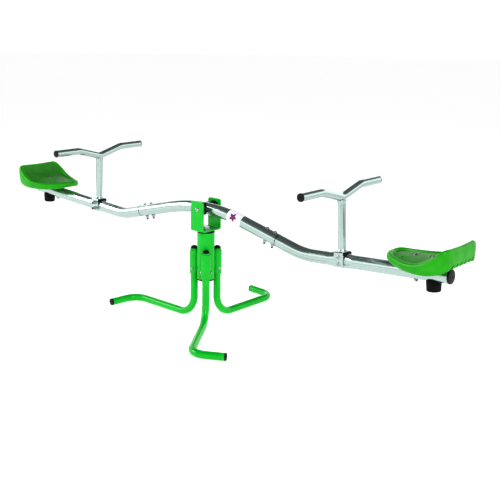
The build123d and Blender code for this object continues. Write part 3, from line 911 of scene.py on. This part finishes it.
SEAT_MERGE = 0.02
SEAT_BOLTS_X = (93.0, 157.0)
WASHER_FLAT_R = 14.0
WASHER_FLAT_Z = (53.0, 54.2)
WASHER_CUT_TOP = 90
SLOT_X = (66.0, 184.0)
SLOT_Y = 38.0
SLOT_R = 4.0
SLOT_STRAIGHT = 5.0
SLOT_CUT = (30, 75)
NOTCH_COUNT = 6
NOTCH_PITCH = 27.0
NOTCH_X, NOTCH_Z = 250, 45
NOTCH_TILT = math.radians(36)
NOTCH_R = 15.0
NOTCH_HALF = 3.0
seat_mesh = new_mesh("seat_skin", (skin_points, skin_faces))
seat_mesh.materials.append(seat_gloss)
seat_mesh.materials.append(seat_grain)
for face in seat_mesh.polygons:
    face.material_index = 1 if face.index in skin_grained else 0
print("skin is closed:", sealed(seat_mesh, SEAT_MERGE))

cutters = []
for x, z in zip(SEAT_BOLTS_X, WASHER_FLAT_Z):
    cutters.append(moved(stadium(WASHER_FLAT_R, 0, z, WASHER_CUT_TOP, 24), Matrix.Translation((x, 0, 0))))
for x in SLOT_X:
    for y in (-SLOT_Y, SLOT_Y):
        cutters.append(moved(stadium(SLOT_R, SLOT_STRAIGHT, *SLOT_CUT), Matrix.Translation((x, y, 0))))
for k in range(NOTCH_COUNT):
    y = (k - (NOTCH_COUNT - 1) / 2) * NOTCH_PITCH
    place = Matrix.Translation((NOTCH_X, y, NOTCH_Z)) @ Matrix.Rotation(NOTCH_TILT, 4, "X")
    cutters.append(moved(stadium(NOTCH_R, 0, -NOTCH_HALF, NOTCH_HALF), place))
cutter_mesh = new_mesh("cutter", joined(cutters))
sealed(cutter_mesh, SEAT_MERGE)
cutter = placed("cutter", cutter_mesh)
blank = placed("seat_blank", seat_mesh)
cut = blank.modifiers.new("cut", "BOOLEAN")
cut.object = cutter
cut.operation = "DIFFERENCE"
cut.solver = "EXACT"
depsgraph = bpy.context.evaluated_depsgraph_get()
cut_mesh = bpy.data.meshes.new_from_object(blank.evaluated_get(depsgraph))
bpy.data.objects.remove(blank)
bpy.data.objects.remove(cutter)
print("cut seat:", len(cut_mesh.vertices), "points,", len(cut_mesh.materials), "materials")

# %% [markdown]
# ## Bosses and ribs under the seat
# A moulded seat is thin, so it stands on hollow bosses where it is bolted and is stiffened by ribs. Here
# the ribs rise until they meet the skin: a ray is sent up from each point of a rib, and the rib ends just
# inside the plastic that the ray hits. The boss ends are hollowed to sit on the round of the tube.

# %% Under the seat
BEAM_R = 24.0
BOSS_R = 15.0
BOSS_GAP = 0.3
BOSS_FOOT = 11
RIB = 2.6
RIB_Y = 27
# the long ribs: where they start and end, and the height of their lower edge there
LONG_RIB = (22, 236, 42, 36)
# the cross ribs: where they stand, how far out they reach, and their lower edge at the inner end
CROSS_RIBS = ((58, 68, 40), (125, 94, 32), (190, 100, 34))
CROSS_RISE = 4


def tree_of(mesh, unit):
    """A search tree over a mesh, with its points divided by the unit."""
    return BVHTree.FromPolygons([v.co / unit for v in mesh.vertices], [p.vertices[:] for p in mesh.polygons])


skin_tree = tree_of(cut_mesh, 1)


def skin_above(x, y, otherwise=48.0):
    """Height just inside the underside of the skin above a point."""
    hit = skin_tree.ray_cast(Vector((x, y, 5)), UP)[0]
    return hit.z + 1.5 if hit else otherwise


def rib(start, end, low_start, low_end, steps=24):
    """A thin upright wall between two points, from a straight lower edge up into the skin."""
    direction = (end - start).normalized()
    side = Vector((-direction.y, direction.x)) * RIB / 2
    points = []
    for i in range(steps + 1):
        share = i / steps
        here = start.lerp(end, share)
        low = low_start + (low_end - low_start) * share
        high = max(low + 1, skin_above(here.x, here.y))
        for corner, z in ((here + side, low), (here - side, low), (here - side, high), (here + side, high)):
            points.append(Vector((corner.x, corner.y, z)))
    faces = [(0, 1, 2, 3), tuple(range(4 * steps + 3, 4 * steps - 1, -1))]
    for i in range(steps):
        faces += band(4 * i, 4 * i + 4, 4)
    return points, faces


def on_tube(shape, radius, lowest):
    """Presses every point that is under a tube along X up to its surface, or down to it from above."""
    for point in shape[0]:
        if abs(point.y) < radius and point.z < lowest:
            point.z = math.sqrt(radius ** 2 - point.y ** 2)
    return shape


def boss(x):
    top_z = skin_above(x, 0)
    rings = [(5, 0), (9, 0), (BOSS_R - 1, 0), (BOSS_R, 0), (BOSS_R, 12), (BOSS_R + 0.4, top_z - 6)]
    rings += [(BOSS_R + 2, top_z - 3), (BOSS_R + 4, top_z), (5, top_z), (5, 0)]
    shape = on_tube(spin(rings, steps=56), BEAM_R + BOSS_GAP, BOSS_FOOT)
    return moved(shape, Matrix.Translation((x, 0, 0)))


under = [boss(x) for x in SEAT_BOLTS_X]
start, end, low_start, low_end = LONG_RIB
for side in (-1, 1):
    under.append(rib(Vector((start, side * RIB_Y)), Vector((end, side * RIB_Y)), low_start, low_end))
for x, reach, low in CROSS_RIBS:
    for side in (-1, 1):
        under.append(rib(Vector((x, side * RIB_Y)), Vector((x, side * reach)), low, low + CROSS_RISE))
print(len(under), "bosses and ribs")

# %% [markdown]
# ## Put the seats on the beam
# The seat was drawn in its own frame, so a single matrix stands it on the beam: its X runs along the tube,
# and its zero is on the centre line. The other seat is the same one turned half way round the column.

# %% Seats
SEAT_FRONT = -213.0
seat_place = Matrix.Translation(beam_end / MM) @ run_frame @ Matrix.Translation((SEAT_FRONT, 0, 0))
under_mesh = new_mesh("under_seat", moved(joined(under), seat_place))
sealed(under_mesh, SEAT_MERGE)
for side, turn in ENDS:
    name = "shown_seat_" + side
    full = cut_mesh.copy()
    full.name = name
    full.transform(seat_place)
    work = bmesh.new()
    work.from_mesh(full)
    work.from_mesh(under_mesh)
    bmesh.ops.scale(work, vec=(MM, MM, MM), verts=work.verts)
    bmesh.ops.transform(work, matrix=turn, verts=work.verts)
    work.to_mesh(full)
    work.free()
    seat = riding(name, full, "beam", sharp=38)
    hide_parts("seat_" + side)
    print(name, "has", len(full.polygons), "faces")

# %% [markdown]
# ## Bumpers
# A bumper is a rubber cup that takes the blow when a seat comes down. Its upper face is hollowed to the
# tube, it narrows a little on the way down so that it leaves its mould, a bead marks where the two halves
# of the mould met, and a deep hole in its foot hides the nut.

# %% Bumpers
BORE = 4.1
RECESS_R = 9.0
RECESS_TOP = 21.0
# the rounding of the foot: inwards from its radius and up from the ground side
FOOT_ROUND = ((3.4, 0), (2.0, 0.25), (0.9, 1.0), (0.25, 2.2), (0, 3.8))
# from the foot of the bumper up to the centre line of the tube
TO_CENTRE_LINE = 55.0
# where the bead of the mould's parting line is, as a share of the height
BEAD_SHARE = 0.62


def bumper_shape(length, points):
    """Made with its centre line at the top; the foot is at z = 0 of the measured solid."""
    foot_r = max(off_axis(p) for p in points if p.z < 4.5)
    top_r = max(map(off_axis, points))
    bead = length * BEAD_SHARE
    bead_r = foot_r + (top_r - foot_r) * BEAD_SHARE
    rings = [(BORE, RECESS_TOP), (RECESS_R, RECESS_TOP), (RECESS_R, 0.8), (RECESS_R + 0.8, 0)]
    rings += [(foot_r - inwards, up) for inwards, up in FOOT_ROUND]
    rings += [(bead_r - 0.1, bead - 0.6), (bead_r + 0.35, bead), (bead_r - 0.05, bead + 0.6)]
    rings += [(top_r - 0.3, length - 1.0), (top_r - 1.2, length)]
    rings += [(r, length) for r in (21.5, 19.5, 17.0, 14.0, 11.0, 8.0, 6.0, BORE)] + [(BORE, RECESS_TOP)]
    shape = spin(rings, steps=72)
    for point in shape[0]:
        if point.z > length - 1.01 and abs(point.y) < BEAM_R:
            point.z = min(point.z, TO_CENTRE_LINE - math.sqrt((BEAM_R + 0.1) ** 2 - point.y ** 2))
    return shape


for side, turn in ENDS:
    node = "bumper_" + side
    place, length, points = measured(node, for_both_ends(run_up))[0]
    place = Matrix.Translation(place.translation) @ (turn @ run_frame)
    local = [place.inverted() @ (v.co / MM) for v in nodes[node].data.vertices]
    stand_in(node, moved(bumper_shape(length, local), place), sharp=40)
    print(node, "is", round(length, 1), "mm tall")

# %% [markdown]
# ## Weld beads
# The three leg sleeves are MIG welded to the column with a bead in each groove beside the line where they
# touch. A hand-laid bead is a row of frozen ripples, so it is drawn as a tube whose radius swells every 2.4
# millimetres, a little unevenly. The paint runs over it, so it gets the green coat.

# %% Beads on the column
RIPPLE = 2.4
RIPPLE_SHARE = 0.13
UNEVEN_SHARE = 0.06
BEAD_END_SHARE = 0.45
BEAD_R = 3.2
SLEEVE_R = 18.0
BEAD_LOW, BEAD_HIGH = 198.0, 280.0
WEB_HALF = 8.0


def bead_shape(points, radius, steps=10):
    """A rippled bead along a list of points, closed at its ends."""
    count = len(points)
    travelled = 0.0
    skin = []
    for i, point in enumerate(points):
        ahead = points[min(i + 1, count - 1)]
        behind = points[max(i - 1, 0)]
        travelled += (point - behind).length
        turn = (ahead - behind).normalized().to_track_quat("Z", "Y").to_matrix()
        ripple = RIPPLE_SHARE * math.sin(2 * math.pi * travelled / RIPPLE)
        size = radius * (1 + ripple + UNEVEN_SHARE * math.sin(travelled * 0.9))
        if i in (0, count - 1):
            size *= BEAD_END_SHARE
        skin += [point + turn @ polar(size, 2 * math.pi * j / steps) for j in range(steps)]
    faces = [tuple(reversed(range(steps))), tuple(range((count - 1) * steps, count * steps))]
    for i in range(count - 1):
        faces += band(i * steps, (i + 1) * steps, steps)
    return skin, faces


cap_low, cap_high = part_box("leg_top_cap_front")
sleeve_distance = math.hypot(cap_low[0] + cap_high[0], cap_low[1] + cap_high[1]) / 2 / MM
column_r = sleeve_distance - SLEEVE_R
beads = []
for angle in sleeve_angles:
    for side in (-1, 1):
        line = []
        steps = int((BEAD_HIGH - BEAD_LOW) / (RIPPLE / 4))
        for i in range(steps + 1):
            z = BEAD_LOW + (BEAD_HIGH - BEAD_LOW) * i / steps
            line.append(Matrix.Rotation(angle, 3, "Z") @ Vector((column_r, side * WEB_HALF, z)))
        beads.append(bead_shape(line, BEAD_R))
weld = make_piece("column_weld_beads", joined(beads), green_coat, "base", sharp=50)
print(len(beads), "beads,", round(BEAD_HIGH - BEAD_LOW), "mm long")

# %% [markdown]
# ## Beads on the handles
# Each handle post is welded all round where it stands on its bracket. The bead is the same rippled tube,
# bent into a ring, and it wears the silver coat.

# %% Beads on the handles
POST_R = 14.3
BRACKET_TOP = 32.6
HANDLE_X = 642.0
POST_BEAD_R = 1.7
POST_BEAD_STEPS = 160
along_run = (HANDLE_X * MM - beam_end.x) / run.x
handle_place = Matrix.Translation((beam_end + run * along_run) / MM) @ run_frame
ring = []
for i in range(POST_BEAD_STEPS + 1):
    angle = 2 * math.pi * i / POST_BEAD_STEPS
    ring.append(polar(POST_R + POST_BEAD_R - 0.1, angle, BRACKET_TOP + 1.2))
for side, turn in ENDS:
    shape = moved(bead_shape(ring, POST_BEAD_R), turn @ handle_place)
    bead = make_piece("handle_weld_bead_" + side, shape, silver_coat, "beam", sharp=50)
    print(bead.name, "made")

# %% [markdown]
# ## A mark on the label
# The label is a white wrap, and it carries a printed mark. The mark here is a plain five-petalled flower,
# which belongs to nobody. It is a thin skin of ink that follows the bent tube: each of its points is placed
# by how far it is along the bend and how far round the tube.

# %% Printed mark
PIVOT_Z = 459.0
BEND_R = 800.0
BEND_CENTRE = Vector((0, 0, PIVOT_Z - BEND_R))
MARK_ALONG = 158.0
MARK_ROUND = math.radians(72)
MARK_R = 17.0
INK = 0.15
PETALS = 5
PETAL_SHARE = 0.22
RINGS = 10
SPOKES = 60
label_tree = tree_of(nodes["label"].data, MM)


def on_label(reach, angle):
    """A point of the mark, pressed onto the label and lifted by the thickness of the ink."""
    along = (MARK_ALONG + reach * math.cos(angle)) / BEND_R
    around = MARK_ROUND + reach * math.sin(angle) / BEAM_R
    above = polar(BEAM_R + 2, around)
    spoke = Vector((math.sin(along), 0, math.cos(along)))
    start = BEND_CENTRE + spoke * (BEND_R + above.x) + ACROSS * above.y
    place = label_tree.find_nearest(start)[0]
    return place + (start - place).normalized() * INK


points = []
for i in range(RINGS + 1):
    for j in range(SPOKES):
        angle = 2 * math.pi * j / SPOKES
        petal = MARK_R * (1 - PETAL_SHARE + PETAL_SHARE * math.cos(PETALS * angle))
        points.append(on_label(max(0.3, petal * i / RINGS), angle))
faces = [tuple(range(SPOKES))]
for i in range(RINGS):
    faces += band(i * SPOKES, (i + 1) * SPOKES, SPOKES)
mark = make_piece("label_mark", (points, faces), ink, "beam")
print("mark of", len(faces), "faces")

# %% [markdown]
# ## Seals at the joints
# Where an outer tube meets the centre tube there is a narrow gap, and a black ring sits in it to keep water
# out. It is a thin hoop, slightly proud, so it reads as a dark line across the silver.

# %% Joint seals
SEAL_HALF = 1.7
JOINT_X = 360.8
hoop = spin([
    (BEAM_R - 0.4, -SEAL_HALF), (BEAM_R + 0.25, 0.5 - SEAL_HALF), (BEAM_R + 0.4, 0),
    (BEAM_R + 0.25, SEAL_HALF - 0.5), (BEAM_R - 0.4, SEAL_HALF), (BEAM_R - 0.4, -SEAL_HALF)], steps=72)
joint_z = PIVOT_Z + BEND_R * (1 / math.cos(CENTRE_SLOPE) - 1) - JOINT_X * math.tan(CENTRE_SLOPE)
joint_place = Matrix.Translation((JOINT_X, 0, joint_z))
joint_place = joint_place @ frame_of(centre_up.cross(centre_run), centre_up, centre_run)
for side, turn in ENDS:
    seal = make_piece("joint_seal_" + side, moved(hoop, turn @ joint_place), black_plastic, "beam")
    print(seal.name, "made")

# %% [markdown]
# ## The two boxes
# The dressed object must fill the same box as the bare frame, so both boxes are printed side by side.

# %% The two boxes
dressed_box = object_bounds()
for word, box in (("bare", cad_box), ("dressed", dressed_box)):
    print(word, [[round(v, 4) for v in corner] for corner in box])
